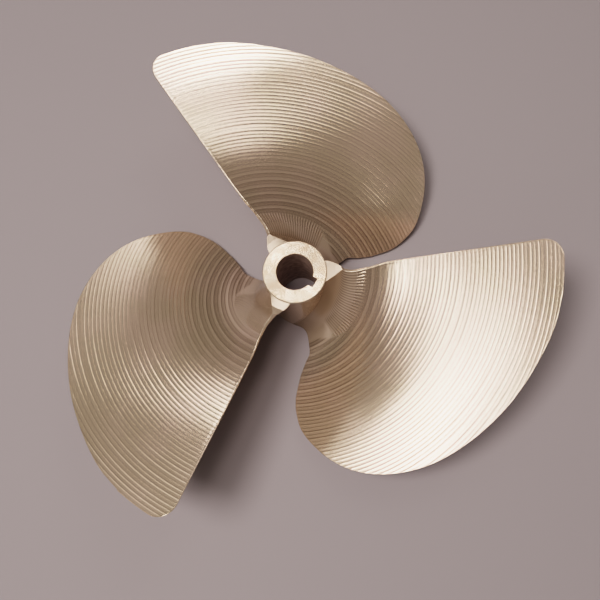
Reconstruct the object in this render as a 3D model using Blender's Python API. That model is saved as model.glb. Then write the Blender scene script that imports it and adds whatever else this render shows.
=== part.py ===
"""Ship propeller: a one-piece bronze casting with a hub, three wide blades, a tapered bore and a keyway.

It lies with the aft end of its hub up. The shaft axis is Z, and the origin is at the centre of mass.
The middle line of the first blade's driving face runs out along +Y.
"""

import math

import bmesh
import bpy
from mathutils import Matrix, Vector

# Driving dimensions, in millimetres and degrees
BLADES = 3
TIP_RADIUS = 165.1  # half of a 13 in diameter
PITCH = 266.7  # 10.5 in forward for each turn, right hand
RAKE = 0.157  # rise of the driving face towards the aft end, for each unit of radius
FACE_OFFSET = -2.5  # where the middle line of the driving face would meet the axis

# Each pair is a radius and how many degrees the edge lies ahead of the blade's middle line
LEADING_EDGE = (
    (36.0, 52.7),
    (42.0, 53.2),
    (50.0, 58.5),
    (60.0, 62.5),
    (75.0, 64.5),
    (90.0, 62.7),
    (110.0, 55.2),
    (130.0, 43.8),
    (145.0, 28.2),
    (155.0, 7.6),
    (161.0, -7.7),
    (TIP_RADIUS, -21.0),
)
# Each pair is a radius and how many degrees the edge lies behind the blade's middle line
TRAILING_EDGE = (
    (30.0, 30.3),
    (36.0, 29.2),
    (45.0, 30.5),
    (60.0, 33.0),
    (90.0, 33.5),
    (TIP_RADIUS, 33.7),
)
TIP_CORNER = 12.8  # radius of the corner between the tip and the trailing edge

ROOT_THICKNESS = 13.0
TIP_THICKNESS = 3.2
ROOT_EDGE = 3.6
TIP_EDGE = 1.2
THINNING = 1.0  # how quickly the blade thins outwards, 1 being evenly
EDGE_THINNING = 8.0  # and how quickly its edges do, which are thick only beside the hub
FULLNESS = 1.0  # how full the section is, 1 being a plain arc

HUB_AFT = 27.3
HUB_LENGTH = 69.85  # 2.75 in
HUB_FORWARD = HUB_AFT - HUB_LENGTH
HUB_AFT_RADIUS = 20.3
HUB_FORWARD_RADIUS = 20.7
BOSS_RADIUS = 20.7
FILLET_WALL = 20.1  # where the blades' fillets end, just inside the hub

# Each fillet is how far it reaches out from that wall, how high it stands there, and how hollow
# it is, 1 being a straight slope
FACE_FILLET = (14.0, 17.6, 2.2)
BACK_FILLET = (9.0, 5.0, 2.0)
LEADING_FILLET = (14.0, 12.3, 4.1)
TRAILING_FILLET = (10.2, 9.6, 1.13)

BORE_SMALL = 11.6  # radius at the aft end, for a 1.125 in shaft
BORE_TAPER = 1.0 / 16.0  # on the diameter
KEY_WIDTH = 6.35
KEY_DEPTH = 3.2
KEY_ANGLE = -32.0

LAND_DROP = 1.4  # step from the hub's aft face down to the turned lands
LAND_VALLEY = (25.3, 1.9)  # radius and drop of the lowest ring of the lands
LAND_RIM = (31.5, 0.8)
EDGE_BREAK = 0.6

BRONZE_COLOUR = (0.62, 0.47, 0.31, 1.0)
BRONZE_ROUGHNESS = 0.32

MM = 0.001
CLEAR = 45.0  # how far a cutter runs past what it cuts
ROUGH = 20.0  # spare length at each end of the rough hub
TURN_STEPS = 72
CHORD_STEPS = 18
FILLET_STEPS = 8
SPAN_STEPS = 17
BLADE_CORE = 16.5  # radius of the blade's hidden inner end


def clear_scene():
    for old in list(bpy.data.objects):
        bpy.data.objects.remove(old, do_unlink=True)


def bronze():
    material = bpy.data.materials.new("nickel_bronze")
    material.use_nodes = True
    shader = material.node_tree.nodes["Principled BSDF"]
    shader.inputs["Base Color"].default_value = BRONZE_COLOUR
    shader.inputs["Metallic"].default_value = 1.0
    shader.inputs["Roughness"].default_value = BRONZE_ROUGHNESS
    return material


def through_points(pairs, place):
    """A smooth curve through the pairs, read at place, that never swings past them."""
    steps = list(zip(pairs, pairs[1:]))
    slopes = [(b[1] - a[1]) / (b[0] - a[0]) for a, b in steps]
    joins = [slopes[0]]
    for before, after in zip(slopes, slopes[1:]):
        same_way = before * after > 0
        joins.append(2 * before * after / (before + after) if same_way else 0.0)
    joins.append(slopes[-1])
    index = 0
    while index < len(steps) - 1 and place > steps[index][1][0]:
        index += 1
    (x0, y0), (x1, y1) = steps[index]
    width = x1 - x0
    t = min(max((place - x0) / width, 0.0), 1.0)
    start = (1 + 2 * t) * (1 - t) ** 2 * y0 + t * (1 - t) ** 2 * width * joins[index]
    end = t * t * (3 - 2 * t) * y1 + t * t * (t - 1) * width * joins[index + 1]
    return start + end


def from_tip(radius):
    """The root of the distance to the tip circle, in which the outer edge runs nearly straight."""
    return math.sqrt(max(TIP_RADIUS - radius, 0.0))


def rounding(distance, radius):
    """How far a rounded corner falls short, this distance from where the sharp one would be."""
    inside = min(max(radius - distance, 0.0), radius)
    return radius - math.sqrt(radius * radius - inside * inside)


def fillet_rise(radius, fillet):
    """How far a fillet at the hub stands off the plain blade at this radius."""
    reach, height, hollow = fillet
    left = 1 - (radius - FILLET_WALL) / reach
    return height * min(max(left, 0.0), 1.0) ** hollow


def leading_angle(radius):
    pairs = [(-from_tip(r), angle) for r, angle in LEADING_EDGE]
    flare = fillet_rise(radius, LEADING_FILLET) / radius
    return -math.radians(through_points(pairs, -from_tip(radius))) - flare


def trailing_angle(radius):
    flare = fillet_rise(radius, TRAILING_FILLET) / radius
    corner = rounding(TIP_RADIUS - radius, TIP_CORNER) / radius
    return math.radians(through_points(TRAILING_EDGE, radius)) + flare - corner


def face_height(radius, angle):
    """Height of the driving face, which is part of a screw surface with a fillet at the hub."""
    screw = PITCH / math.tau * angle + RAKE * radius + FACE_OFFSET
    return screw + fillet_rise(radius, FACE_FILLET)


def thickness(radius, share):
    """Thickness square to the face, at this share of the way from the leading to the trailing edge."""
    outward = (TIP_RADIUS - radius) / (TIP_RADIUS - FILLET_WALL)
    middle = TIP_THICKNESS + (ROOT_THICKNESS - TIP_THICKNESS) * outward**THINNING
    edge = TIP_EDGE + (ROOT_EDGE - TIP_EDGE) * outward**EDGE_THINNING
    arch = (4 * share * (1 - share)) ** FULLNESS
    return edge + (middle - edge) * arch


def row_radii():
    """Radii of the blade's sections: close together in the fillet and towards the tip."""
    turn = math.pi / 2
    reach = FACE_FILLET[0]
    fillet = [
        FILLET_WALL + reach * (1 - math.cos(turn * step / FILLET_STEPS))
        for step in range(FILLET_STEPS)
    ]
    start = FILLET_WALL + reach
    span = [
        start + (TIP_RADIUS - start) * math.sin(turn * step / SPAN_STEPS)
        for step in range(SPAN_STEPS + 1)
    ]
    return [BLADE_CORE, *fillet, *span]


def on_blade(radius, share, side):
    """A point of the blade whose middle line runs along +Y: side 0 is its face, and -1 its back."""
    start = leading_angle(radius)
    angle = start + (trailing_angle(radius) - start) * share
    slope = math.atan2(PITCH / math.tau, radius)
    down = thickness(radius, share) * math.cos(slope) + fillet_rise(radius, BACK_FILLET)
    across = thickness(radius, share) * math.sin(slope) / radius
    height = face_height(radius, angle) + side * down
    around = math.pi / 2 + angle - side * across
    return Vector((radius * math.cos(around), radius * math.sin(around), height)) * MM


def blade_mesh():
    """A flat grid is pulled into a slab one unit thick, and each point is then put on the blade."""
    radii = row_radii()
    shape = bmesh.new()
    bmesh.ops.create_grid(
        shape, x_segments=CHORD_STEPS, y_segments=len(radii) - 1, size=0.5
    )
    pulled = bmesh.ops.extrude_face_region(shape, geom=list(shape.faces))
    lower = [part for part in pulled["geom"] if isinstance(part, bmesh.types.BMVert)]
    bmesh.ops.translate(shape, verts=lower, vec=(0.0, 0.0, -1.0))
    for vert in shape.verts:
        across, along, side = vert.co.x + 0.5, vert.co.y + 0.5, vert.co.z
        share = (1 - math.cos(math.pi * across)) / 2
        vert.co = on_blade(radii[round(along * (len(radii) - 1))], share, side)
    return shape


def turned(profile):
    """A closed shape turned round the shaft axis from a profile of radius and height pairs."""
    shape = bmesh.new()
    corners = [shape.verts.new((r * MM, 0.0, z * MM)) for r, z in profile]
    edges = [shape.edges.new((a, b)) for a, b in zip(corners, corners[1:])]
    if profile[0][0] > 0:
        edges.append(shape.edges.new((corners[-1], corners[0])))
    bmesh.ops.spin(
        shape,
        geom=corners + edges,
        axis=(0.0, 0.0, 1.0),
        cent=(0.0, 0.0, 0.0),
        angle=math.tau,
        steps=TURN_STEPS,
        use_merge=True,
    )
    bmesh.ops.remove_doubles(shape, verts=shape.verts, dist=1e-6)
    return shape


def as_object(name, shape, material=None):
    bmesh.ops.recalc_face_normals(shape, faces=shape.faces)
    mesh = bpy.data.meshes.new(name)
    shape.to_mesh(mesh)
    shape.free()
    mesh.shade_smooth()
    mesh.set_sharp_from_angle(angle=math.radians(35))
    if material:
        mesh.materials.append(material)
    made = bpy.data.objects.new(name, mesh)
    bpy.context.scene.collection.objects.link(made)
    return made


def as_helper(name, shape, material):
    helper = as_object(name, shape, material)
    helper.hide_render = True
    helper.display_type = "WIRE"
    return helper


def combine(target, helper, operation, solver="EXACT"):
    step = target.modifiers.new(f"{operation.lower()}_{helper.name}", "BOOLEAN")
    step.operation = operation
    step.solver = solver
    step.object = helper


def trim(target, helper, operation):
    """The exact solver leaves gaps where the turned lands graze the fillets, so this one trims."""
    combine(target, helper, operation, solver="MANIFOLD")


def make_hub(material):
    """The rough hub, still solid and too long at both ends: a cone that widens a little forward."""
    profile = [
        (0.0, HUB_FORWARD - ROUGH),
        (HUB_FORWARD_RADIUS, HUB_FORWARD - ROUGH),
        (HUB_FORWARD_RADIUS, HUB_FORWARD),
        (HUB_AFT_RADIUS, HUB_AFT),
        (HUB_AFT_RADIUS, HUB_AFT + ROUGH),
        (0.0, HUB_AFT + ROUGH),
    ]
    return as_object("propeller", turned(profile), material)


def add_blades(hub, material):
    for index in range(BLADES):
        shape = blade_mesh()
        turn = Matrix.Rotation(math.tau * index / BLADES, 3, "Z")
        bmesh.ops.transform(shape, matrix=turn.to_4x4(), verts=shape.verts)
        combine(hub, as_helper(f"blade_{index + 1}", shape, material), "UNION")


def turn_ends(hub, material):
    """The lathe keeps what lies in this outline: both ends flat, a boss, and a land at each root."""
    reach, over = TIP_RADIUS + CLEAR, HUB_AFT + CLEAR
    profile = [
        (0.0, HUB_FORWARD),
        (reach, HUB_FORWARD),
        (reach, over),
        (LAND_RIM[0], over),
        (LAND_RIM[0], HUB_AFT - LAND_RIM[1]),
        (LAND_VALLEY[0], HUB_AFT - LAND_VALLEY[1]),
        (BOSS_RADIUS, HUB_AFT - LAND_DROP),
        (BOSS_RADIUS, HUB_AFT - EDGE_BREAK),
        (BOSS_RADIUS - EDGE_BREAK, HUB_AFT),
        (0.0, HUB_AFT),
    ]
    trim(hub, as_helper("turned_outline", turned(profile), material), "INTERSECT")


def bore_radius(height):
    return BORE_SMALL + (HUB_AFT - height) * BORE_TAPER / 2


def cut_bore(hub, material):
    over, under = HUB_AFT + CLEAR, HUB_FORWARD - CLEAR
    profile = [(0.0, under), (bore_radius(under), under), (bore_radius(over), over), (0.0, over)]
    trim(hub, as_helper("bore_cutter", turned(profile), material), "DIFFERENCE")


def cut_keyway(hub, material):
    """The key's slot follows the taper, so it is as deep at one end of the bore as at the other."""
    shape = bmesh.new()
    bmesh.ops.create_cube(shape, size=1.0)
    depth, height = BORE_SMALL + KEY_DEPTH, HUB_LENGTH + 2 * CLEAR
    bmesh.ops.scale(shape, verts=shape.verts, vec=(depth * MM, KEY_WIDTH * MM, height * MM))
    bmesh.ops.translate(shape, verts=shape.verts, vec=(depth / 2 * MM, 0.0, 0.0))
    tilt = Matrix.Rotation(-math.atan(BORE_TAPER / 2), 3, "Y")
    aft_end = Vector((0.0, 0.0, HUB_AFT * MM))
    bmesh.ops.rotate(shape, verts=shape.verts, cent=(0.0, 0.0, 0.0), matrix=tilt)
    bmesh.ops.translate(shape, verts=shape.verts, vec=aft_end)
    aim = Matrix.Rotation(math.radians(KEY_ANGLE), 3, "Z")
    bmesh.ops.rotate(shape, verts=shape.verts, cent=(0.0, 0.0, 0.0), matrix=aim)
    trim(hub, as_helper("key_cutter", shape, material), "DIFFERENCE")


def main():
    clear_scene()
    material = bronze()
    hub = make_hub(material)
    add_blades(hub, material)
    turn_ends(hub, material)
    cut_bore(hub, material)
    cut_keyway(hub, material)


main()
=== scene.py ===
# %% [markdown]
# A ship propeller lies face up on a pale floor, with the aft end of its hub towards us.
# The real one is a single bronze casting whose blades a milling machine has cut to shape, and the
# cutter has left a fine ridge at every pass. Those ridges make the look of the thing, so the blades
# are built here again with every ridge in the mesh, exactly where the plain casting has its blades.

# %% Load the plain casting as the fixed frame
import math

import bmesh
import bpy
from mathutils import Matrix, Vector


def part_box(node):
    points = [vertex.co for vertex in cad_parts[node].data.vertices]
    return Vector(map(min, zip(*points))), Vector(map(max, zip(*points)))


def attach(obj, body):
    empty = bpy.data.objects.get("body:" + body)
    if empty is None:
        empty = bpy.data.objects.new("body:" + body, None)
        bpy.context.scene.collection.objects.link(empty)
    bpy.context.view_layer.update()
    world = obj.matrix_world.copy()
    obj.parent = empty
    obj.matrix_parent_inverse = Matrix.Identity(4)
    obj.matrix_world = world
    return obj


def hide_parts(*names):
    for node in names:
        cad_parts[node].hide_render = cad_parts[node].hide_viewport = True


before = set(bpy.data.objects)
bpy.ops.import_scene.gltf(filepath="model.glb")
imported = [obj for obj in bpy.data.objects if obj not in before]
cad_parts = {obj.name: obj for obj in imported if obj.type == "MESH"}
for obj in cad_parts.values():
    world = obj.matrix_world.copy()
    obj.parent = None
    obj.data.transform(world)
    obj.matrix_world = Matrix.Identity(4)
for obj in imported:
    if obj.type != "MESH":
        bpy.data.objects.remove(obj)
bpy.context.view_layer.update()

casting_low, casting_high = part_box("propeller")
print("casting from", tuple(casting_low), "to", tuple(casting_high))

# %% [markdown]
# All sizes are in millimetres and are turned into metres at the last moment, when a point is placed.
# The shaft runs along Z, and the middle line of the first blade's driving face runs along +Y.

# %% Sizes of the whole propeller
MM = 0.001
BLADES = 3
TIP_RADIUS = 164.8
INSET = 0.45  # keeps the fine outline inside the straight facets of the plain casting
PITCH = 266.7  # forward travel for each turn
RAKE = 0.157  # rise of the driving face towards the aft end, for each unit of radius
FACE_OFFSET = -2.5  # where the middle line of the driving face would meet the axis
HUB_AFT = 27.3
HUB_LENGTH = 69.85
HUB_FORWARD = HUB_AFT - HUB_LENGTH
HUB_AFT_RADIUS = 20.3
HUB_FORWARD_RADIUS = 20.7
FILLET_WALL = 20.1  # where the blades' fillets end, just inside the hub
print("hub", round(HUB_LENGTH, 1), "mm long, blades out to", TIP_RADIUS, "mm")

# %% [markdown]
# ## The outline of a blade
# A drawing gives a blade's edges as points, and the pattern maker draws a smooth curve through them.
# We do the same: each pair is a radius and an angle from the middle line, and a curve that never
# swings past its points runs through them. A Bezier curve object could do it too, but here each
# ridge needs to know where both edges are at its own radius, so a function is handier.
# The angles come from a program that fitted the whole outline, with the camera, to the photograph.
# Those of the leading edge are its results, rounded, and the trailing edge was then changed.
# The rake and the corner at the tip come from it too.

# %% Points on the two edges
LEADING_EDGE = (
    (36.0, 52.7),
    (42.0, 53.2),
    (50.0, 58.5),
    (60.0, 62.5),
    (75.0, 64.5),
    (90.0, 62.7),
    (110.0, 55.2),
    (130.0, 43.8),
    (145.0, 28.2),
    (155.0, 7.6),
    (161.0, -7.7),
    (TIP_RADIUS, -21.0),
)
TRAILING_EDGE = (
    (30.0, 30.3),
    (36.0, 29.2),
    (45.0, 30.5),
    (60.0, 33.0),
    (90.0, 33.5),
    (TIP_RADIUS, 33.7),
)
TIP_CORNER = 12.8  # radius of the corner between the tip and the trailing edge


# %% A smooth curve through points
def through_points(pairs, place):
    """A smooth curve through the pairs, read at place, that never swings past them."""
    steps = list(zip(pairs, pairs[1:]))
    slopes = [(b[1] - a[1]) / (b[0] - a[0]) for a, b in steps]
    joins = [slopes[0]]
    for before, after in zip(slopes, slopes[1:]):
        same_way = before * after > 0
        joins.append(2 * before * after / (before + after) if same_way else 0.0)
    joins.append(slopes[-1])
    index = 0
    while index < len(steps) - 1 and place > steps[index][1][0]:
        index += 1
    (x0, y0), (x1, y1) = steps[index]
    width = x1 - x0
    t = min(max((place - x0) / width, 0.0), 1.0)
    start = (1 + 2 * t) * (1 - t) ** 2 * y0 + t * (1 - t) ** 2 * width * joins[index]
    end = t * t * (3 - 2 * t) * y1 + t * t * (t - 1) * width * joins[index + 1]
    return start + end


def from_tip(radius):
    """The root of the distance to the tip circle, in which the outer edge runs nearly straight."""
    return math.sqrt(max(TIP_RADIUS - radius, 0.0))


def rounding(distance, radius):
    """How far a rounded corner falls short, this distance from where the sharp one would be."""
    inside = min(max(radius - distance, 0.0), radius)
    return radius - math.sqrt(radius * radius - inside * inside)


def step_up(value, low, high):
    """Climbs softly from 0 at low to 1 at high."""
    t = min(max((value - low) / (high - low), 0.0), 1.0)
    return t * t * (3 - 2 * t)


print("leading edge at radius 75:", round(through_points(LEADING_EDGE, 75.0), 1), "degrees")

# %% [markdown]
# ## Fillets
# Where a blade meets the hub, the casting swells in four directions: up on the face, down on the
# back, and outwards at both edges. Each swelling is one number that dies away with the radius.

# %% Reach, height and hollowness of each fillet
FACE_FILLET = (14.0, 17.6, 2.2)
BACK_FILLET = (9.0, 5.0, 2.0)
LEADING_FILLET = (14.0, 12.3, 4.1)
TRAILING_FILLET = (10.2, 9.6, 1.13)


def fillet_rise(radius, fillet):
    """How far a fillet at the hub stands off the plain blade at this radius."""
    reach, height, hollow = fillet
    left = 1 - (radius - FILLET_WALL) / reach
    return height * min(max(left, 0.0), 1.0) ** hollow


def leading_angle(radius):
    """Where the leading edge is, in radians from the middle line, and below 0 since it lies ahead."""
    pairs = [(-from_tip(r), angle) for r, angle in LEADING_EDGE]
    flare = fillet_rise(radius, LEADING_FILLET) / radius
    place = min(radius + INSET, TIP_RADIUS)
    return -math.radians(through_points(pairs, -from_tip(place))) - flare


def trailing_angle(radius):
    """Where the trailing edge is, in radians from the middle line."""
    flare = fillet_rise(radius, TRAILING_FILLET) / radius
    corner = rounding(TIP_RADIUS - radius, TIP_CORNER) / radius
    return math.radians(through_points(TRAILING_EDGE, radius)) + flare - corner


print("blade is", round(math.degrees(trailing_angle(90.0) - leading_angle(90.0))), "degrees wide")

# %% [markdown]
# ## Ridges
# The milling cutter goes round the shaft, steps outwards, and goes round again. Each pass leaves a
# shallow hollow with a sharp ridge on either side, and every second ridge stands out more. Close to
# the hub the cutter changes its way and runs in and out along the fillet, like the sticks of a fan.
# A bump texture could draw all this, but on polished bronze the eye sees bump as flat, so the
# hollows are cut into the mesh: six rows of faces for each pass, four columns for each fan stick.

# %% Spacing and height of the ridges
RIDGE_STEP = 2.415
ROWS_PER_RIDGE = 6
ROW_SPACING = RIDGE_STEP / ROWS_PER_RIDGE  # a crest is one row wide on each side
STRONG_RIDGE = 0.07
WEAK_RIDGE = 0.04
HOLLOW_DEPTH = 0.035
FIRST_RIDGE = 34.1
FAN_DEPTH = 0.17
COLUMNS_PER_STICK = 4
FAN_RADIUS = 45.0  # where the fan gives way to the rings, over most of the blade
FAN_RADIUS_LEADING = 33.0  # and beside the leading edge
FAN_NARROWS = (14.0, 52.0)  # degrees ahead of the middle line where that change begins and ends
BORDER_SOFT = 1.4  # the two mix over this distance to either side
SMOOTH_RADIUS = 27.0  # inside this the fillet is smooth
UNEVENNESS = 0.35  # how much the ridges differ
QUICK_WAVE = 0.83  # two waves make the difference, here in radians for each millimetre outwards
SLOW_WAVE = 0.31


def hollow(place):
    """Depth of a hollow between two ridges, from 0 on a ridge to 1 halfway to the next."""
    across = place % 1.0
    return 4 * across * (1 - across)


def unevenness(radius):
    """No two passes of a cutter are quite alike: some ridges stand out more than others."""
    return 1 + UNEVENNESS * math.sin(QUICK_WAVE * radius) * math.sin(SLOW_WAVE * radius + 1.0)


def ring_cut(radius):
    """The cutter goes below the plain surface everywhere but on the crests of the strong ridges."""
    place = (radius - FIRST_RIDGE) / RIDGE_STEP
    nearest = round(place)
    height = STRONG_RIDGE if nearest % 2 == 0 else WEAK_RIDGE
    height = min(height * unevenness(radius), STRONG_RIDGE)
    crest = height * max(1 - abs(place - nearest) * RIDGE_STEP / ROW_SPACING, 0.0)
    return STRONG_RIDGE - crest + HOLLOW_DEPTH * hollow(place)


def fan_edge(angle):
    """Radius at which the fan ends, at this angle from the middle line."""
    start, end = FAN_NARROWS
    ahead = step_up(-angle, math.radians(start), math.radians(end))
    return FAN_RADIUS + (FAN_RADIUS_LEADING - FAN_RADIUS) * ahead


print("about", round((TIP_RADIUS - FIRST_RIDGE) / RIDGE_STEP), "rings on each side of a blade")

# %% [markdown]
# ## Thickness
# A blade is thick at the root and thin at the tip, and its section is a flat arc with a blunt edge.
# The milled edges are rounded by a fine file, which shows as a bright line along them.

# %% Thickness of the blade
ROOT_THICKNESS = 13.0
TIP_THICKNESS = 3.2
ROOT_EDGE = 3.6
TIP_EDGE = 1.2
EDGE_THINNING = 8.0  # the edges thin quickly, and are thick only beside the hub
EDGE_ROUND = 0.42


def thickness(radius, share):
    """Thickness square to the face, at this share of the way from the leading to the trailing edge."""
    outward = (TIP_RADIUS - radius) / (TIP_RADIUS - FILLET_WALL)
    middle = TIP_THICKNESS + (ROOT_THICKNESS - TIP_THICKNESS) * outward
    edge = TIP_EDGE + (ROOT_EDGE - TIP_EDGE) * outward**EDGE_THINNING
    return edge + (middle - edge) * 4 * share * (1 - share)


print("middle of the blade at radius 90:", round(thickness(90.0, 0.5), 1), "mm thick")

# %% [markdown]
# ## Rows and columns
# The blade starts as a flat grid, and each row of the grid becomes the section at one radius. The
# rows are close together in the fillet, then six to a ridge, and close again over the rounded tip.
# The columns are four for the rounding at each edge, a few wide ones on the leading third, where
# there is no fan, and narrow ones on the rest.

# %% Radii of the rows
BLADE_CORE = 18.0  # radius of the blade's hidden inner end
FILLET_ROWS = 14
ROUND_STEPS = 4
QUARTER = math.pi / 2


def row_radii():
    reach = FIRST_RIDGE - FILLET_WALL
    fillet = [
        FILLET_WALL + reach * (1 - math.cos(QUARTER * step / FILLET_ROWS))
        for step in range(FILLET_ROWS)
    ]
    count = int((TIP_RADIUS - EDGE_ROUND - FIRST_RIDGE) / ROW_SPACING)
    rings = [FIRST_RIDGE + ROW_SPACING * step for step in range(count)]
    tip = [
        TIP_RADIUS - EDGE_ROUND * (1 - math.sin(QUARTER * step / ROUND_STEPS))
        for step in range(ROUND_STEPS + 1)
    ]
    return [BLADE_CORE, *fillet, *rings, *tip]


radii = row_radii()
print(len(radii), "rows")

# %% Shares of the columns
WIDE_COLUMNS = 24
NARROW_COLUMNS = 104
WIDE_SHARE = 0.32
COLUMNS = WIDE_COLUMNS + NARROW_COLUMNS + 2 * ROUND_STEPS
NUDGE = 0.02  # a short step inwards, to see how slantwise an edge runs
MOST_ROUND = 0.04  # the rounding at an edge never takes up more of the width than this


def section(radius):
    """What the points of one row have in common: both edges, and how slantwise the row meets them."""
    inner = radius - NUDGE
    start, end = leading_angle(radius), trailing_angle(radius)
    lead_lean = radius * (start - leading_angle(inner)) / NUDGE
    trail_lean = radius * (end - trailing_angle(inner)) / NUDGE
    return {
        "radius": radius,
        "start": start,
        "end": end,
        "lead": math.hypot(1.0, lead_lean),
        "trail": math.hypot(1.0, trail_lean),
        "slope": math.atan2(PITCH / math.tau, radius),
    }


def column_share(row, column):
    """How far across the blade a column is, from 0 at the leading edge to 1 at the trailing edge."""
    width = row["radius"] * (row["end"] - row["start"])
    near = min(EDGE_ROUND * row["lead"] / width, MOST_ROUND)
    far = min(EDGE_ROUND * row["trail"] / width, MOST_ROUND)
    if column < ROUND_STEPS:
        return near * (1 - math.cos(QUARTER * column / ROUND_STEPS))
    if column > COLUMNS - ROUND_STEPS:
        return 1 - far * (1 - math.cos(QUARTER * (COLUMNS - column) / ROUND_STEPS))
    inner = column - ROUND_STEPS
    if inner < WIDE_COLUMNS:
        return near + (WIDE_SHARE - near) * inner / WIDE_COLUMNS
    return WIDE_SHARE + (1 - far - WIDE_SHARE) * (inner - WIDE_COLUMNS) / NARROW_COLUMNS


print(COLUMNS, "columns")

# %% How deep the cutter went at a point
FAN_BEGINS = (-0.5, 2.0)  # the fan grows to its full depth between these sticks
SMOOTH_SOFT = 3.0  # and over this distance out from the smooth fillet


def ridge_shares(radius, share, angle):
    """How much of this place belongs to the rings, how much to the fan, and its place in the fan."""
    border = fan_edge(angle)
    rings = step_up(radius, border - BORDER_SOFT, border + BORDER_SOFT)
    stick = (share - WIDE_SHARE) / (1 - WIDE_SHARE) * NARROW_COLUMNS / COLUMNS_PER_STICK
    fan = step_up(stick, *FAN_BEGINS) * step_up(radius, SMOOTH_RADIUS, SMOOTH_RADIUS + SMOOTH_SOFT)
    return rings, (1 - rings) * fan, stick


def cut_depth(radius, share, angle):
    """How far the cutter went below the plain surface: rings outside, a fan beside the hub."""
    if radius < SMOOTH_RADIUS:
        return 0.0
    rings, fan, stick = ridge_shares(radius, share, angle)
    return rings * ring_cut(radius) + fan * FAN_DEPTH * hollow(stick)


print("cut at radius 90, on the middle line:", round(cut_depth(90.0, 0.5, 0.0), 3), "mm deep")

# %% Where a point of the grid goes
CUT_FADES = 1.0  # the hollows run out over this distance from an edge


def edge_distance(row, share):
    """Distance to the nearest edge, along the blade's surface."""
    width = row["radius"] * (row["end"] - row["start"]) / math.cos(row["slope"])
    near = share * width / math.hypot(row["lead"], math.tan(row["slope"]))
    far = (1 - share) * width / math.hypot(row["trail"], math.tan(row["slope"]))
    return min(near, far, TIP_RADIUS - row["radius"])


def on_blade(row, column, back):
    """The place of one point, on the face of the first blade or on its back."""
    radius, slope = row["radius"], row["slope"]
    share = column_share(row, column)
    angle = row["start"] + (row["end"] - row["start"]) * share
    away = edge_distance(row, share)
    ridges = cut_depth(radius, share, angle) * step_up(away, 0.0, CUT_FADES)
    cut = rounding(away, EDGE_ROUND) + ridges
    below = thickness(radius, share) - cut if back else cut
    height = PITCH / math.tau * angle + RAKE * radius + FACE_OFFSET
    height += fillet_rise(radius, FACE_FILLET) - below * math.cos(slope)
    if back:
        height -= fillet_rise(radius, BACK_FILLET)
    around = math.pi / 2 + angle + below * math.sin(slope) / radius
    return Vector((radius * math.cos(around), radius * math.sin(around), height)) * MM


middle_point = on_blade(section(90.0), COLUMNS // 2, back=False)
print("a point of the face near its middle:", [round(v / MM, 1) for v in middle_point])

# %% [markdown]
# ## Making a piece from a bmesh
# Every piece ends the same way: its faces are turned to agree with each other, the mesh becomes an
# object, and it is shaded smooth, with the true corners kept sharp. On a thin, twisted blade Blender
# takes the inside for the outside here, so the faces of the blades point inwards.
# A turned piece starts as a line of corners, which `spin` takes all the way round the shaft. What a
# machine cuts away is cut here with a Boolean, which is done for good at once.

# %% Helpers for pieces
SHARP = 35.0  # degrees between two faces from which their edge stays sharp
TURN_STEPS = 192
SAME_PLACE = 1e-6  # metres between points that are merged


def as_piece(name, shape):
    bmesh.ops.recalc_face_normals(shape, faces=shape.faces)
    mesh = bpy.data.meshes.new(name)
    shape.to_mesh(mesh)
    shape.free()
    piece = bpy.data.objects.new(name, mesh)
    bpy.context.scene.collection.objects.link(piece)
    smooth(mesh, SHARP)
    return piece


def smooth(mesh, sharp):
    mesh.shade_smooth()
    mesh.set_sharp_from_angle(angle=math.radians(sharp))


def turned(profile):
    """A closed shape turned round the shaft from pairs of radius and height."""
    shape = bmesh.new()
    corners = [shape.verts.new((r * MM, 0.0, z * MM)) for r, z in profile]
    edges = [shape.edges.new((a, b)) for a, b in zip(corners, corners[1:])]
    if profile[0][0] > 0:
        edges.append(shape.edges.new((corners[-1], corners[0])))
    bmesh.ops.spin(
        shape,
        geom=corners + edges,
        axis=(0.0, 0.0, 1.0),
        cent=(0.0, 0.0, 0.0),
        angle=math.tau,
        steps=TURN_STEPS,
        use_merge=True,
    )
    bmesh.ops.remove_doubles(shape, verts=shape.verts, dist=SAME_PLACE)
    return shape


def cut_with(piece, tool, operation, solver="EXACT"):
    """Does one Boolean for good, and clears the tool away."""
    step = piece.modifiers.new(operation.lower(), "BOOLEAN")
    step.operation = operation
    step.solver = solver
    step.object = tool
    seen = piece.evaluated_get(bpy.context.evaluated_depsgraph_get())
    done = bpy.data.meshes.new_from_object(seen)
    piece.modifiers.clear()
    piece.data = done
    done.name = piece.name
    bpy.data.objects.remove(tool, do_unlink=True)


print("a turned piece has", TURN_STEPS, "steps round the shaft")

# %% [markdown]
# ## One blade
# The grid is pulled into a slab with `extrude_face_region`, so it has a face, a back and a thin wall
# all round, and is closed from the start. Then every point moves to its place on the blade.

# %% Build the first blade
def blade_shape():
    shape = bmesh.new()
    bmesh.ops.create_grid(shape, x_segments=COLUMNS, y_segments=len(radii) - 1, size=0.5)
    pulled = bmesh.ops.extrude_face_region(shape, geom=list(shape.faces))
    lower = [part for part in pulled["geom"] if isinstance(part, bmesh.types.BMVert)]
    bmesh.ops.translate(shape, verts=lower, vec=(0.0, 0.0, -1.0))
    rows = [section(radius) for radius in radii]
    for vert in shape.verts:
        column = round((vert.co.x + 0.5) * COLUMNS)
        row = rows[round((vert.co.y + 0.5) * (len(rows) - 1))]
        vert.co = on_blade(row, column, back=vert.co.z < -0.5)
    return shape


first_blade = as_piece("blade_1", blade_shape())
print("blade with", len(first_blade.data.polygons), "faces")

# %% [markdown]
# ## Lands
# On the lathe, the turner faces the hub and goes on a little way into the three blade roots, which
# leaves a small flat triangle, a land, at each root. The same is done here: the blade is trimmed by
# a turned shape. Inside the hub that shape stays a little short, so that no two faces coincide.

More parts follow.
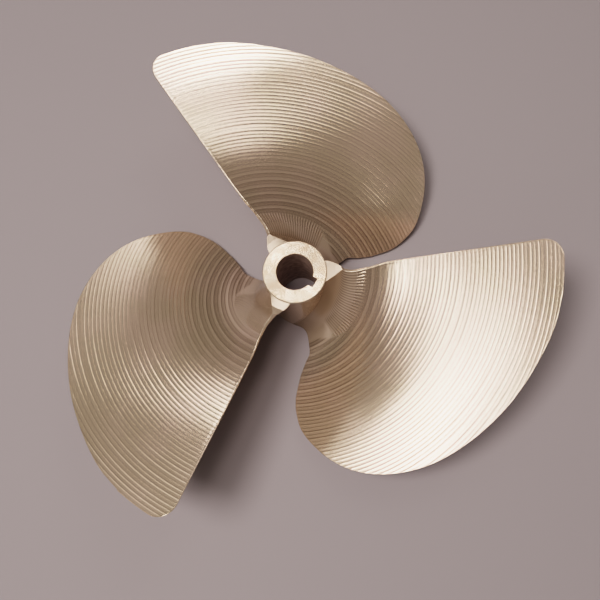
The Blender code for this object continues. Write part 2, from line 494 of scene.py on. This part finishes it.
# %% Trim the first blade as a lathe would
LAND_DROP = 1.4  # step from the hub's aft face down to the lands
LAND_VALLEY = (25.3, 1.9)  # radius and drop of the lowest ring of the lands
LAND_RIM = (31.5, 0.8)
SHORT = 1.0
INSIDE = 0.1
CLEAR = 45.0  # how far the lathe's outline runs past what it keeps
BLADE_SHARP = 14.0


def lathe_outline():
    reach, over = TIP_RADIUS + CLEAR, HUB_AFT + CLEAR
    aft, forward = HUB_AFT_RADIUS - INSIDE, HUB_FORWARD_RADIUS - INSIDE
    return [
        (0.0, HUB_FORWARD + SHORT),
        (forward, HUB_FORWARD + SHORT),
        (forward, HUB_FORWARD),
        (reach, HUB_FORWARD),
        (reach, over),
        (LAND_RIM[0], over),
        (LAND_RIM[0], HUB_AFT - LAND_RIM[1]),
        (LAND_VALLEY[0], HUB_AFT - LAND_VALLEY[1]),
        (aft, HUB_AFT - LAND_DROP),
        (aft, HUB_AFT - LAND_DROP - SHORT),
        (0.0, HUB_AFT - LAND_DROP - SHORT),
    ]


cut_with(first_blade, as_piece("lathe", turned(lathe_outline())), "INTERSECT", solver="MANIFOLD")
smooth(first_blade.data, BLADE_SHARP)
print("trimmed blade with", len(first_blade.data.polygons), "faces")

# %% [markdown]
# ## Painted shade
# The colour is painted darker along the foot of every ridge, in the hollows of the fan and in the
# corner round the hub: painted shade, for the shade that gathers there. Shape and light alone can't
# show that: a ridge that mirrors an even part of the room all but disappears. So every point of the
# mesh gets a number, its painted shade, worked out from the same places as the ridges. It is kept as
# an attribute, and the bronze mixes it into its colour.

# %% How much painted shade each place has
STRONG_LINE = 0.5  # painted shade along the foot of a strong ridge
WEAK_LINE = 0.33
ROOT_LINE = 0.5  # how much more of it there is near the root
LEADING_LINE = 1.6  # times that at the leading edge, and 1 less at the trailing edge
HAZE = 0.12  # painted shade between the ridges
ROOT_HAZE = 0.5
ROOT_REACH = (50.0, 100.0)  # the root's extra painted shade dies away between these radii
STICK_FADE = 3  # how quickly the line in a hollow of the fan fades to its sides
# painted shade in the corner round the hub, and the radii over which it fades out
CORNER_PAINTED_SHADE = 0.5
CORNER_REACH = (24.0, 36.0)


def ring_painted_shade(radius, share):
    """Painted shade: darkest along the inner foot of each strong ridge, and clearing slowly towards the
    hub.
    """
    place = (radius - FIRST_RIDGE) / RIDGE_STEP + 1 / ROWS_PER_RIDGE
    nearest = round(place)
    root = 1 - step_up(radius, *ROOT_REACH)
    most = (STRONG_LINE if nearest % 2 == 0 else WEAK_LINE) * (1 + ROOT_LINE * root)
    most *= unevenness(radius) * (LEADING_LINE - share)
    line = most * max(1 - abs(place - nearest) * ROWS_PER_RIDGE, 0.0)
    haze = (HAZE + ROOT_HAZE * root) * (place / 2 % 1.0)
    return line + haze


def fan_painted_shade(stick):
    """Painted shade: darkest in the middle of each hollow of the fan."""
    return max(1 - STICK_FADE * abs(stick % 1.0 - 0.5), 0.0)


# Painted shade in the corner round the hub, fading out with the radius.
def corner_painted_shade(radius):
    return CORNER_PAINTED_SHADE * (1 - step_up(radius, *CORNER_REACH))


print("grime in the corner:", corner_painted_shade(FILLET_WALL), "and at radius 30:", corner_painted_shade(30.0))


# %% Give every point its painted shade
def add_painted_shade(mesh):
    values = mesh.attributes.new("painted_shade", "FLOAT", "POINT").data
    for vert, value in zip(mesh.vertices, values):
        x, y = vert.co.x / MM, vert.co.y / MM
        radius, angle = math.hypot(x, y), math.atan2(-x, y)
        start, end = leading_angle(radius), trailing_angle(radius)
        share = min(max((angle - start) / (end - start), 0.0), 1.0)
        rings, fan, stick = ridge_shares(radius, share, angle)
        dark = rings * ring_painted_shade(radius, share) + fan * fan_painted_shade(stick) + corner_painted_shade(radius)
        value.value = min(dark, 1.0)


add_painted_shade(first_blade.data)
print("strongest grime:", round(max(v.value for v in first_blade.data.attributes["painted_shade"].data), 2))

# %% [markdown]
# ## The hub
# A turned body with a tapered bore right through it and a slot for the key that drives it. The
# corners are broken with a small chamfer, as a turner leaves them.

# %% Turn the hub
BORE_SMALL = 11.6
BORE_TAPER = 1.0 / 16.0  # on the diameter
EDGE_BREAK = 0.6
BORE_BREAK = 0.35


def bore_radius(height):
    return BORE_SMALL + (HUB_AFT - height) * BORE_TAPER / 2


def hub_profile():
    mouth, far_mouth = bore_radius(HUB_AFT), bore_radius(HUB_FORWARD)
    return [
        (mouth, HUB_AFT - BORE_BREAK),
        (mouth + BORE_BREAK, HUB_AFT),
        (HUB_AFT_RADIUS - EDGE_BREAK, HUB_AFT),
        (HUB_AFT_RADIUS, HUB_AFT - EDGE_BREAK),
        (HUB_FORWARD_RADIUS, HUB_FORWARD + EDGE_BREAK),
        (HUB_FORWARD_RADIUS - EDGE_BREAK, HUB_FORWARD),
        (far_mouth + BORE_BREAK, HUB_FORWARD),
        (far_mouth, HUB_FORWARD + BORE_BREAK),
    ]


hub = as_piece("hub", turned(hub_profile()))
print("hub with", len(hub.data.polygons), "faces")

# %% Cut the keyway
KEY_WIDTH = 6.35
KEY_DEPTH = 3.2
KEY_ANGLE = -32.0
HUB_SHARP = 25.0


def key_tool():
    """A bar that leans with the taper, so the slot is as deep at one end as at the other."""
    shape = bmesh.new()
    bmesh.ops.create_cube(shape, size=1.0)
    depth, height = BORE_SMALL + KEY_DEPTH, HUB_LENGTH * 2
    bmesh.ops.scale(shape, verts=shape.verts, vec=(depth * MM, KEY_WIDTH * MM, height * MM))
    bmesh.ops.translate(shape, verts=shape.verts, vec=(depth / 2 * MM, 0.0, 0.0))
    tilt = Matrix.Rotation(-math.atan(BORE_TAPER / 2), 3, "Y")
    aim = Matrix.Rotation(math.radians(KEY_ANGLE), 3, "Z")
    bmesh.ops.rotate(shape, verts=shape.verts, cent=(0.0, 0.0, 0.0), matrix=tilt)
    bmesh.ops.translate(shape, verts=shape.verts, vec=(0.0, 0.0, HUB_AFT * MM))
    bmesh.ops.rotate(shape, verts=shape.verts, cent=(0.0, 0.0, 0.0), matrix=aim)
    return shape


cut_with(hub, as_piece("key_tool", key_tool()), "DIFFERENCE")
smooth(hub.data, HUB_SHARP)
print("hub with its keyway:", len(hub.data.polygons), "faces")

# %% [markdown]
# ## Bronze
# Nickel-bronze fresh from the mill is a pale straw colour, and it reflects the room like a brushed
# mirror. The fine scratches run round the shaft, so a light is smeared along the radius. The shader's
# anisotropy does that, with a tangent that points away from the shaft at every point. Object
# coordinates give that direction for nothing, because the shaft is the Z axis of every piece.
# The scratches also scatter some light every way, and a metallic value a little under 1 adds that
# soft share, which is larger beside the hub. There are three finishes: milled for the blades, turned
# for the hub's aft face, and a rougher one for the bore. Sizes in a material are in metres, as
# Blender's own are.

# %% Helpers for materials
COLOUR_A, COLOUR_B, COLOUR_OUT = 6, 7, 2  # a Mix node's colour sockets


def new_material(name, rough, aniso, metallic):
    material = bpy.data.materials.new(name)
    material.use_nodes = True
    shader = material.node_tree.nodes["Principled BSDF"]
    shader.inputs["Metallic"].default_value = metallic
    shader.inputs["Roughness"].default_value = rough
    shader.inputs["Anisotropic"].default_value = aniso
    return material, shader


def add(material, kind, settings=None, **inputs):
    """Adds a node. A setting is one of its own options, and an input is a value or another's output."""
    tree = material.node_tree
    made = tree.nodes.new(kind)
    for key, value in (settings or {}).items():
        setattr(made, key, value)
    for key, value in inputs.items():
        place = int(key[3:]) if key.startswith("in_") else key.replace("_", " ")
        if isinstance(value, bpy.types.NodeSocket):
            tree.links.new(value, made.inputs[place])
        else:
            made.inputs[place].default_value = value
    return made


def math_node(material, operation, first, second=0.0):
    made = add(material, "ShaderNodeMath", {"operation": operation}, in_0=first, in_1=second)
    return made.outputs["Value"]


def from_shaft(material):
    """The position, and the same flattened onto the floor, which points away from the shaft."""
    place = add(material, "ShaderNodeTexCoord").outputs["Object"]
    flat = add(
        material,
        "ShaderNodeVectorMath",
        {"operation": "MULTIPLY"},
        in_0=place,
        in_1=(1.0, 1.0, 0.0),
    )
    return place, flat.outputs["Vector"]


def length_of(material, vector):
    made = add(material, "ShaderNodeVectorMath", {"operation": "LENGTH"}, in_0=vector)
    return made.outputs["Value"]


def ramp(material, value, low, high, start, end):
    """Goes softly from start to end while the value goes from low to high."""
    made = add(
        material,
        "ShaderNodeMapRange",
        {"interpolation_type": "SMOOTHSTEP"},
        Value=value,
        From_Min=low,
        From_Max=high,
        To_Min=start,
        To_Max=end,
    )
    return made.outputs["Result"]


def blend_colours(material, factor, first, second):
    made = add(material, "ShaderNodeMix", {"data_type": "RGBA"}, in_0=factor)
    for index, colour in ((COLOUR_A, first), (COLOUR_B, second)):
        if isinstance(colour, bpy.types.NodeSocket):
            material.node_tree.links.new(colour, made.inputs[index])
        else:
            made.inputs[index].default_value = colour
    return made.outputs[COLOUR_OUT]


# %% Milled bronze for the blades
CLOUDS = (0.3, 0.7)  # the part of the cloud texture's range that is used
ROOT_METAL = (0.027, 0.049)  # from the shaft, where the root's browner colour, partly painted shade, and its metal turn into the blade's
YELLOW_STRAW = (0.84, 0.705, 0.545, 1.0)
PINK_STRAW = (0.94, 0.745, 0.62, 1.0)
# Near the hub the colour turns browner: partly a darker finish of the root, partly painted shade from
# the hub and the blades beside it.
ROOT_BROWN_AND_SHADE = (0.62, 0.51, 0.41, 1.0)
# Colour of the painted shade along the ridges, in the hollows of the fan and in the corner round the
# hub
PAINTED_SHADE_COLOUR = (0.19, 0.14, 0.105, 1.0)
PAINTED_SHADE_SHARE = 0.85  # of the painted shade's colour, where the painted shade is full


def milled_bronze():
    material, shader = new_material("milled_bronze", rough=0.21, aniso=0.75, metallic=0.8)
    links = material.node_tree.links
    place, outward = from_shaft(material)
    links.new(outward, shader.inputs["Tangent"])
    radius = length_of(material, outward)
    clouds = add(material, "ShaderNodeTexNoise", Vector=place, Scale=22.0, Detail=4.0)
    grain = add(material, "ShaderNodeTexNoise", Vector=place, Scale=900.0, Detail=3.0)
    patches = ramp(material, clouds.outputs["Fac"], *CLOUDS, 0.0, 1.0)
    straw = blend_colours(material, patches, YELLOW_STRAW, PINK_STRAW)
    # Browner near the hub, partly painted shade.
    near_hub = ramp(material, radius, *ROOT_METAL, 1.0, 0.0)
    blade_tone = blend_colours(material, near_hub, straw, ROOT_BROWN_AND_SHADE)
    # Painted shade: the attribute darkens the colour along the ridges, in the fan and round the hub.
    painted_shade = add(material, "ShaderNodeAttribute", {"attribute_name": "painted_shade"}).outputs["Fac"]
    shade_amount = math_node(material, "MULTIPLY", painted_shade, PAINTED_SHADE_SHARE)
    links.new(blend_colours(material, shade_amount, blade_tone, PAINTED_SHADE_COLOUR), shader.inputs["Base Color"])
    links.new(ramp(material, radius, *ROOT_METAL, 0.64, 0.8), shader.inputs["Metallic"])
    rough = ramp(material, clouds.outputs["Fac"], *CLOUDS, 0.19, 0.23)
    links.new(rough, shader.inputs["Roughness"])
    bump = add(
        material,
        "ShaderNodeBump",
        Strength=0.25,
        Distance=0.00004,
        Height=grain.outputs["Fac"],
    )
    links.new(bump.outputs["Normal"], shader.inputs["Normal"])
    return material


blade_bronze = milled_bronze()
print("finish for the blades:", blade_bronze.name)

# %% Turned bronze for the hub
MOTTLE = (0.35, 0.65)  # the part of the mottle texture's range that is used
GROOVES = 16000.0  # radians for each metre outwards, so the tool's grooves are 0.4 mm apart


def turned_bronze(name, rough, metallic, dull, bright):
    material, shader = new_material(name, rough=rough, aniso=0.3, metallic=metallic)
    links = material.node_tree.links
    place, outward = from_shaft(material)
    links.new(outward, shader.inputs["Tangent"])
    radius = length_of(material, outward)
    mottle = add(material, "ShaderNodeTexNoise", Vector=place, Scale=240.0, Detail=5.0)
    patches = ramp(material, mottle.outputs["Fac"], *MOTTLE, 0.0, 1.0)
    colour = blend_colours(material, patches, (*dull, 1.0), (*bright, 1.0))
    links.new(colour, shader.inputs["Base Color"])
    grooves = math_node(material, "SINE", math_node(material, "MULTIPLY", radius, GROOVES))
    bump = add(material, "ShaderNodeBump", Strength=0.3, Distance=0.00002, Height=grooves)
    links.new(bump.outputs["Normal"], shader.inputs["Normal"])
    return material


hub_bronze = turned_bronze("turned_bronze", 0.23, 0.8, (0.78, 0.57, 0.41), (0.97, 0.79, 0.61))
# The bore is rougher, and its colours are painted darker than the bronze elsewhere: painted shade in
# the bore.
bore_bronze_and_shade = turned_bronze("bored_and_shaded_bronze", 0.5, 0.3, (0.40, 0.31, 0.28), (0.60, 0.50, 0.46))
print("finishes for the hub:", hub_bronze.name, "and", bore_bronze_and_shade.name)

# %% [markdown]
# ## Putting the finishes on
# A face takes its finish by number, its place in the piece's list of materials. A blade has one
# finish all over, its lands too. On the hub, the aft face is turned, the outside is milled with the
# blades, and the faces of the bore and its keyway are bored.

# %% Finish of the first blade
first_blade.data.materials.clear()
first_blade.data.materials.append(blade_bronze)
print("finish of a blade:", first_blade.data.materials[0].name)

# %% Finishes of the hub
MILLED_HUB, BORED_HUB = 1, 2  # their places in the hub's list, after the turned finish
CHAMFER_SHARE = 0.6  # of the outer chamfer that still counts as turned
UPRIGHT = 0.5  # a face that points up or down less than this is a wall


def mark_hub(piece):
    for face in piece.data.polygons:
        across = math.hypot(*face.center.xy) / MM
        if across > HUB_AFT_RADIUS - EDGE_BREAK * CHAMFER_SHARE:
            face.material_index = MILLED_HUB
        elif abs(face.normal.z) < UPRIGHT:
            face.material_index = BORED_HUB


hub.data.materials.clear()
for finish in (hub_bronze, blade_bronze, bore_bronze_and_shade):
    hub.data.materials.append(finish)
mark_hub(hub)
print("bored faces:", sum(face.material_index == BORED_HUB for face in hub.data.polygons))

# %% [markdown]
# ## Three blades
# The blades of one propeller are alike, so the first is copied and its mesh turned round the shaft.
# The object itself stays unturned, with its place in its mesh.

# %% Copy and turn
blades = [first_blade]
for number in range(2, BLADES + 1):
    mesh = first_blade.data.copy()
    mesh.transform(Matrix.Rotation(math.tau * (number - 1) / BLADES, 4, "Z"))
    blade = bpy.data.objects.new(f"blade_{number}", mesh)
    bpy.context.scene.collection.objects.link(blade)
    blades.append(blade)
for piece in (hub, *blades):
    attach(piece, "root")
    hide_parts("propeller")
print("pieces:", [piece.name for piece in (hub, *blades)])

# %% [markdown]
# ## Floor and light
# The floor is plain and pale. Bright metal is hard to light, because it mirrors every lamp. A
# photographer puts white cards round it for the metal to mirror, and lights the rest with a few soft
# lamps. Blender can keep the two apart: a card here is seen by glossy surfaces only, and a lamp only
# lights surfaces softly, so the floor gets the plain shadow that one soft light from the left gives.
# Most cards stand to the left, the front and the right, as windows would, with small ones over the
# hub. All of them have the same warm white, and the room adds a weak even glow. A program that
# fitted lights to the tones of the photograph gave most cards their first places and strengths,
# and they were then changed.

# %% Floor
FLOOR_REACH = 12.0  # metres from the hub to each side
FLOOR_PAINT = (0.29, 0.27, 0.297, 1.0)
FLOOR_ROUGHNESS = 0.7


def plain_floor():
    shape = bmesh.new()
    bmesh.ops.create_grid(shape, x_segments=1, y_segments=1, size=FLOOR_REACH)
    bmesh.ops.translate(shape, verts=shape.verts, vec=(0.0, 0.0, HUB_FORWARD * MM))
    floor = as_piece("floor", shape)
    material = bpy.data.materials.new("floor_paint")
    material.use_nodes = True
    shader = material.node_tree.nodes["Principled BSDF"]
    shader.inputs["Base Color"].default_value = FLOOR_PAINT
    shader.inputs["Roughness"].default_value = FLOOR_ROUGHNESS
    floor.data.materials.append(material)


plain_floor()
print("floor at height", round(HUB_FORWARD, 2), "mm,", 2 * FLOOR_REACH, "metres across")

# %% Cards and lamps
WARM_WHITE = (1.0, 0.875, 0.785)
LIGHT_DISTANCE = 1.6

# Each card and lamp: degrees from straight up, degrees round from +X, how many degrees it looks
# wide to either side of its middle, and its brightness
CARDS = {
    "window_left": (35.0, 195.0, 7.0, 6.8),
    "window_left_high": (26.0, 201.0, 6.5, 5.4),
    "window_left_front": (34.0, 219.0, 7.0, 3.5),
    "window_front": (37.0, 249.0, 7.0, 5.0),
    "window_front_high": (25.0, 242.0, 7.0, 2.8),
    "window_front_low": (50.0, 252.0, 7.0, 6.5),
    "window_right": (32.0, 54.0, 5.0, 19.0),
    "window_right_low": (45.0, 42.0, 7.0, 2.9),
    "window_right_high": (22.0, 38.0, 6.0, 6.0),
    "window_back": (50.0, 70.0, 6.0, 3.5),
    "window_back_low": (50.0, 88.0, 6.5, 1.0),
    "over_hub": (9.5, 74.0, 4.0, 10.0),
    "over_top_land": (25.5, 116.0, 4.0, 10.0),
    "over_right_land": (27.5, 148.0, 4.0, 10.0),
    "over_low_land": (9.0, 155.0, 3.5, 13.0),
    "window_left_back": (47.0, 171.0, 8.0, 0.8),
    "window_left_back_low": (60.0, 148.0, 7.0, 4.0),
    "window_front_right": (50.0, 288.0, 7.0, 5.0),
}
LAMPS = {
    "ceiling_lamp": (8.0, 250.0, 5.0, 30.0),
    "left_lamp": (18.0, 192.0, 9.0, 28.5),
    "right_lamp": (35.0, 60.0, 12.0, 0.8),
}


def towards(zenith, azimuth, distance):
    """A point this far from the hub, this many degrees from straight up and round from +X."""
    lean, way = math.radians(zenith), math.radians(azimuth)
    flat = math.sin(lean)
    return Vector((flat * math.cos(way), flat * math.sin(way), math.cos(lean))) * distance


def round_light(name, zenith, azimuth, spread, brightness, for_metal):
    """A soft disc that faces the hub, and is seen by the metal only or lights the rest only."""
    lamp = bpy.data.lights.new(name, "AREA")
    lamp.shape = "DISK"
    across = LIGHT_DISTANCE * math.tan(math.radians(spread))
    lamp.size = 2 * across
    lamp.color = WARM_WHITE
    lamp.energy = brightness * math.pi * math.pi * across * across
    holder = bpy.data.objects.new(name, lamp)
    holder.location = towards(zenith, azimuth, LIGHT_DISTANCE)
    holder.rotation_euler = holder.location.to_track_quat("Z", "Y").to_euler()
    holder.visible_glossy = for_metal
    holder.visible_diffuse = not for_metal
    bpy.context.scene.collection.objects.link(holder)


for name, place_and_size in CARDS.items():
    round_light(name, *place_and_size, for_metal=True)
for name, place_and_size in LAMPS.items():
    round_light(name, *place_and_size, for_metal=False)
print(len(CARDS), "cards and", len(LAMPS), "lamps")

# %% The glow of the room
ROOM_GLOW = 0.11


def room_glow(colour, strength):
    world = bpy.data.worlds.new("room")
    world.use_nodes = True
    back = world.node_tree.nodes["Background"]
    back.inputs["Color"].default_value = (*colour, 1.0)
    back.inputs["Strength"].default_value = strength
    bpy.context.scene.world = world


room_glow(WARM_WHITE, ROOM_GLOW)
print("glow of the room:", ROOM_GLOW)

# %% [markdown]
# ## Camera
# The camera looks down almost along the shaft, as the photographer's did. Its place, its turn and
# its lens come from the same fit as the outline of the blades. The middle of its lens isn't the
# middle of the picture, as when a photograph is trimmed on one side, so the picture is shifted.

# %% Camera
FILM_WIDTH = 36.0
LENS = 43.24
PICTURE_WIDTH = 600.0  # pixels
PICTURE_SHIFT = -50.0  # pixels
NEAREST = 0.01  # metres, and nothing nearer to the camera is drawn
CAMERA_PLACE = (0.02767, -0.11781, 0.46435)
CAMERA_TILT = 12.678  # degrees about X, and about Y and Z below
CAMERA_LEAN = -0.80
CAMERA_ROLL = -2.196


def photo_camera():
    data = bpy.data.cameras.new("camera")
    data.sensor_width = FILM_WIDTH
    data.lens = LENS
    data.shift_x = PICTURE_SHIFT / PICTURE_WIDTH
    data.clip_start = NEAREST
    camera = bpy.data.objects.new("camera", data)
    camera.location = CAMERA_PLACE
    tilt = Matrix.Rotation(math.radians(CAMERA_TILT), 3, "X")
    lean = Matrix.Rotation(math.radians(CAMERA_LEAN), 3, "Y")
    roll = Matrix.Rotation(math.radians(CAMERA_ROLL), 3, "Z")
    camera.rotation_euler = (tilt @ lean @ roll).to_euler()
    bpy.context.scene.collection.objects.link(camera)
    return camera


bpy.context.scene.camera = photo_camera()
bpy.context.scene.view_settings.view_transform = "Filmic"
bpy.context.scene.view_settings.look = "High Contrast"
print("camera at height", CAMERA_PLACE[2], "with a lens of", LENS, "mm")
